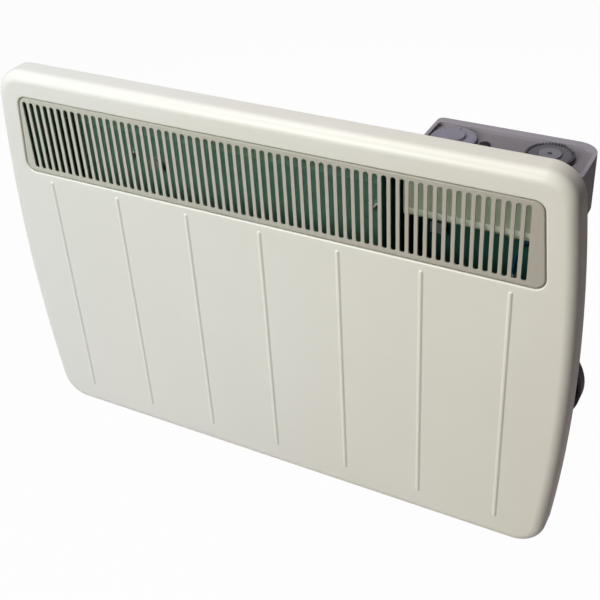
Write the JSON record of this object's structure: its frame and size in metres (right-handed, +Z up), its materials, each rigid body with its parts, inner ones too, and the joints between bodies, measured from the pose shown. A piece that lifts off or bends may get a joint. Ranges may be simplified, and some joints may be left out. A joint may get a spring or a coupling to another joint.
{
  "type": "panel convector heater",
  "caption": "Wall-hung panel convector heater: bowed steel casing with a slotted outlet grille, finned element in a back tray, and a rear control box with two dials and a push button.",
  "frame": {"origin": "centre of the wall bracket's hole pattern, on the wall plane, at the casing's mid width and mid height", "axes": "+Z up, +Y into the wall, the front casing faces -Y, +X to the right as seen from the front"},
  "size_m": [0.626, 0.1092, 0.43],
  "materials": {
    "casing_paint": "satin powder coat on pressed steel",
    "grille_paint": "matt grey-beige paint on a punched plate",
    "zinc_sheet": "zinc coated sheet, spangled",
    "heater_sheath": "heat stained steel tube",
    "fin_metal": "pressed aluminium",
    "ceramic": "glazed ceramic",
    "bright_steel": "zinc plated fasteners",
    "brass": "plain brass",
    "dark_moulding": "dark heat resistant moulding",
    "pale_moulding": "pale heat resistant moulding",
    "housing_grey": "fine textured grey moulding",
    "dial_grey": "smooth grey moulding",
    "button_black": "smooth black moulding",
    "wire_blue": "smooth wire insulation",
    "wire_black": "smooth wire insulation",
    "wire_brown": "smooth wire insulation",
    "wire_green": "smooth wire insulation",
    "spacer_grey": "dark grey moulding"
  },
  "bodies": {
    "heater": {"front_casing": "casing_paint", "outlet_grille": "grille_paint", "back_panel": "zinc_sheet", "inlet_guard": "zinc_sheet", "heat_shield": "zinc_sheet", "outlet_deflector": "zinc_sheet", "control_bay_shield": "zinc_sheet", "element_sheath": "heater_sheath", "element_fins": "fin_metal", "element_bracket_left": "zinc_sheet", "element_bracket_right": "zinc_sheet", "element_bushes": "ceramic", "element_hangers": "bright_steel", "thermal_cutout": "dark_moulding", "terminal_block": "pale_moulding", "earth_stud": "brass", "wire_neutral": "wire_blue", "wire_element": "wire_black", "wire_live": "wire_brown", "wire_earth": "wire_green", "control_housing": "housing_grey", "control_panel": "housing_grey", "thermostat_body": "dark_moulding", "timer_body": "pale_moulding", "button_switch": "dark_moulding", "cable_gland": "dark_moulding", "gland_nut": "dark_moulding", "bracket_upright_left": "zinc_sheet", "bracket_upright_right": "zinc_sheet", "bracket_rail_top": "zinc_sheet", "bracket_rail_bottom": "zinc_sheet", "wall_spacers": "spacer_grey", "casing_screws": "bright_steel", "housing_screws": "bright_steel"},
    "thermostat": {"thermostat_dial": "dial_grey", "thermostat_spindle": "bright_steel"},
    "timer": {"timer_dial": "dial_grey", "timer_spindle": "bright_steel", "timer_tappets": "dial_grey"},
    "button": {"push_button": "button_black"}
  },
  "joints": [
    {"name": "thermostat_turn", "type": "hinge", "parent": "heater", "child": "thermostat", "pos_m": [0.1675, -0.0335, 0.1885], "axis": [0, 0, 1], "range_deg": [-270, 0]},
    {"name": "timer_turn", "type": "hinge", "parent": "heater", "child": "timer", "pos_m": [0.256, -0.0335, 0.1885], "axis": [0, 0, 1], "continuous": true},
    {"name": "button_press", "type": "slide", "parent": "heater", "child": "button", "axis": [0, 0, -1], "range_m": [0, 0.002], "stiffness_N_per_m": 400, "springref_m": -0.001}
  ]
}
